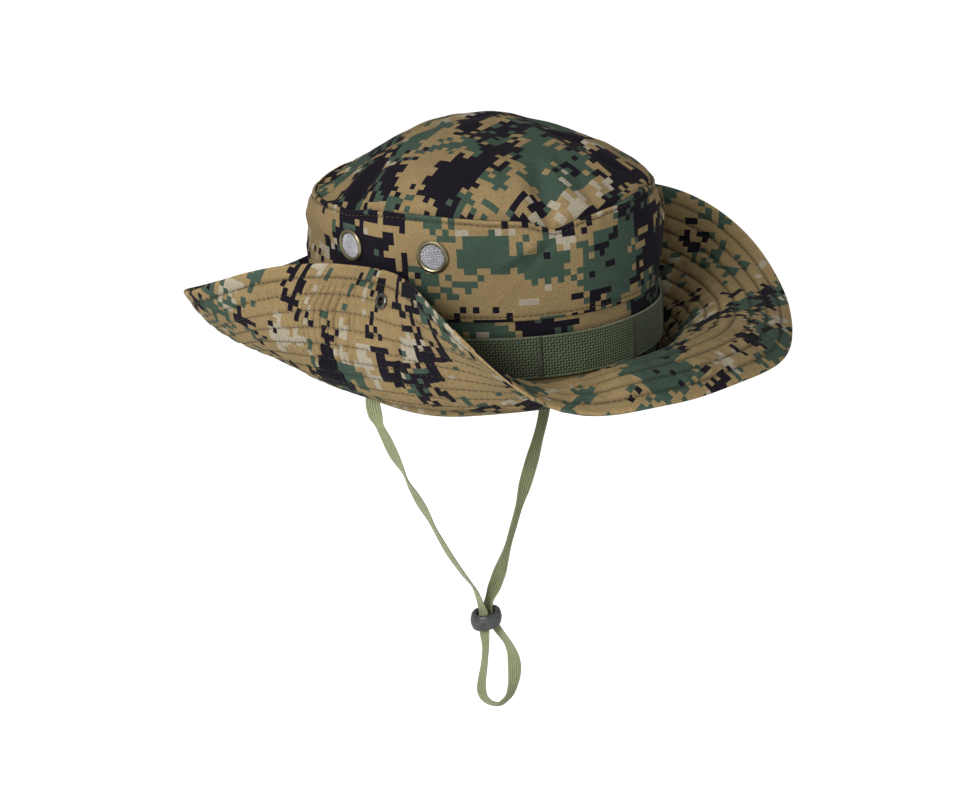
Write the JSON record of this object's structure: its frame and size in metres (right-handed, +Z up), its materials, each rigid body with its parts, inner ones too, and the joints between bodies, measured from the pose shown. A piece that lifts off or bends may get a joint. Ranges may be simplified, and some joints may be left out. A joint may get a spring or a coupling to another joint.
{
  "type": "boonie hat",
  "caption": "Soft wide-brim boonie hat with snapped-up sides, branch-loop webbing, screened side vents, brim eyelets and a chin strap with a sliding bead.",
  "frame": {"origin": "centre of the head opening, in the plane where crown and brim meet", "axes": "+Z up through the crown, -Y out of the front of the hat, -X towards the wearer's right"},
  "size_m": [0.2558, 0.3386, 0.3511],
  "materials": {
    "camo_cloth": "matte twill with a printed small-block camouflage in tan, dark green, near-black and pale beige",
    "seam_tape": "matte woven tape",
    "sweatband_cloth": "matte folded cotton",
    "label_cloth": "blank woven label, slight sheen",
    "olive_webbing": "coarse ribbed nylon webbing, low sheen",
    "olive_thread": "tight zigzag thread",
    "antique_brass": "antiqued, polished on the high edges",
    "vent_mesh": "fine woven wire screen",
    "interlining": "stiff felted interlining, hidden",
    "dark_metal": "dark oxide with worn rim",
    "strap_braid": "flat ribbed braid, soft sheen",
    "bead_plastic": "dark moulded plastic, semi-gloss"
  },
  "bodies": {
    "crown": {"crown_top": "camo_cloth", "crown_wall": "camo_cloth", "crown_lower_band": "camo_cloth", "top_seam_tape": "seam_tape", "low_seam_tape": "seam_tape", "sweatband": "sweatband_cloth", "size_label": "label_cloth", "webbing_band": "olive_webbing", "webbing_bartacks": "olive_thread", "vent_rings": "antique_brass", "vent_screens": "vent_mesh", "vent_washers": "antique_brass", "brim_top_ply": "camo_cloth", "brim_interlining": "interlining", "brim_under_ply": "camo_cloth", "strap_end_right": "strap_braid", "strap_end_left": "strap_braid", "strap_tacks": "olive_thread"},
    "brim_right": {"brim_right_top_ply": "camo_cloth", "brim_right_interlining": "interlining", "brim_right_under_ply": "camo_cloth", "brim_right_eyelet": "dark_metal", "brim_right_eyelet_washer": "dark_metal"},
    "brim_left": {"brim_left_top_ply": "camo_cloth", "brim_left_interlining": "interlining", "brim_left_under_ply": "camo_cloth", "brim_left_eyelet": "dark_metal", "brim_left_eyelet_washer": "dark_metal"},
    "chin_cord": {"chin_strap": "strap_braid"},
    "slider": {"cord_slider": "bead_plastic"}
  },
  "joints": [
    {"name": "brim_right_fold", "type": "hinge", "parent": "crown", "child": "brim_right", "pos_m": [-0.0865, 0, -0.002], "axis": [0, 1, 0], "range_deg": [-55, 0]},
    {"name": "brim_left_fold", "type": "hinge", "parent": "crown", "child": "brim_left", "pos_m": [0.0865, 0, -0.002], "axis": [0, -1, 0], "range_deg": [-55, 0]},
    {"name": "chin_cord_swing", "type": "hinge", "parent": "crown", "child": "chin_cord", "pos_m": [0, 0.018, -0.007], "axis": [1, 0, 0], "range_deg": [-70, 70]},
    {"name": "bead_slide", "type": "slide", "parent": "chin_cord", "child": "slider", "axis": [0, 0, 1], "range_m": [0, 0.07], "deforming": ["chin_strap"]}
  ]
}
